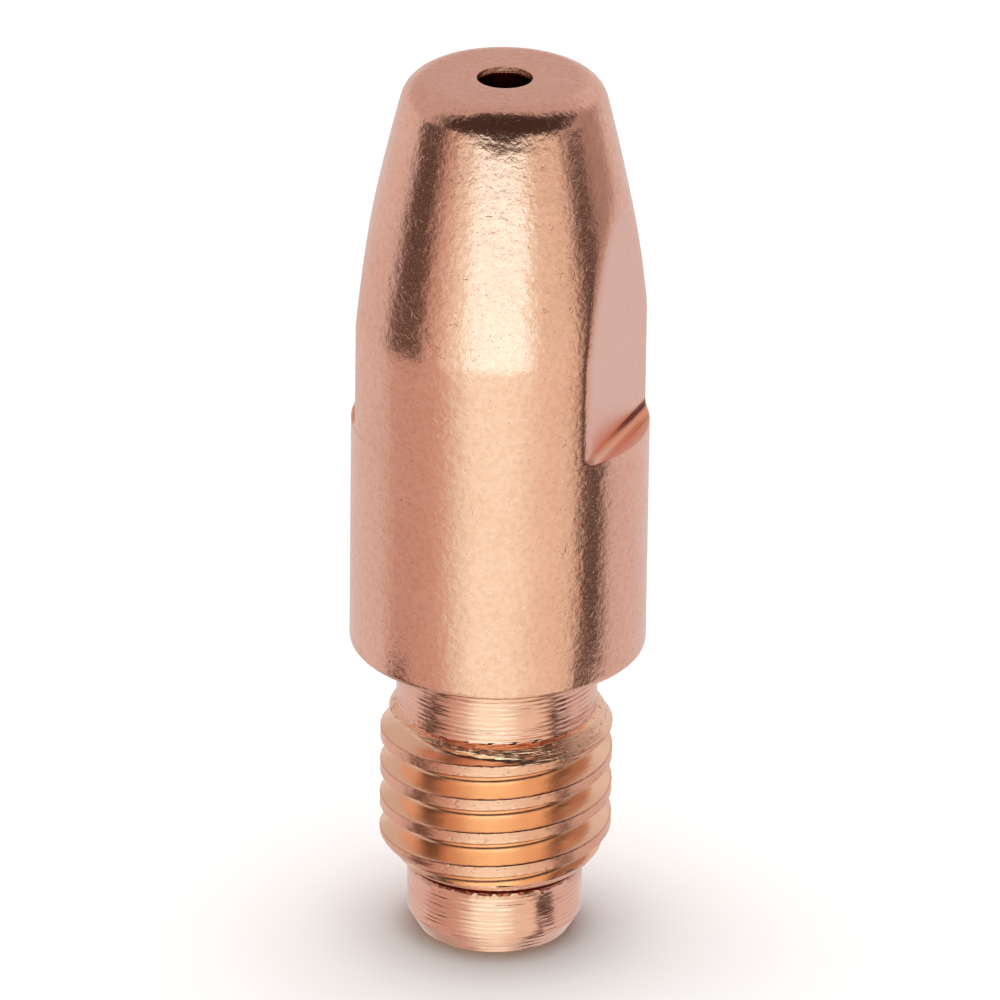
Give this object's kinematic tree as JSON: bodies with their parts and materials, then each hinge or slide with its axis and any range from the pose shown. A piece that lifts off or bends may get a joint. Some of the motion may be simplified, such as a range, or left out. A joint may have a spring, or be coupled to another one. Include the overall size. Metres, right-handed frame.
{
  "type": "welding contact tip",
  "caption": "One-piece turned copper welding tip: tapered nose with a wire bore through it, spanner flats, a plain neck and a short threaded shank with a pilot end.",
  "frame": {"origin": "centre of the pilot's end face, on which the tip stands", "axes": "+Z along the wire bore, from the threaded end to the nose; +X and -X are the normals of the spanner flats"},
  "size_m": [0.01, 0.01, 0.031],
  "materials": {
    "copper": "bare copper: tumbled satin body, bright turned neck and pilot, glossy thread flanks"
  },
  "bodies": {
    "root": {"contact_tip": "copper"}
  },
  "joints": []
}
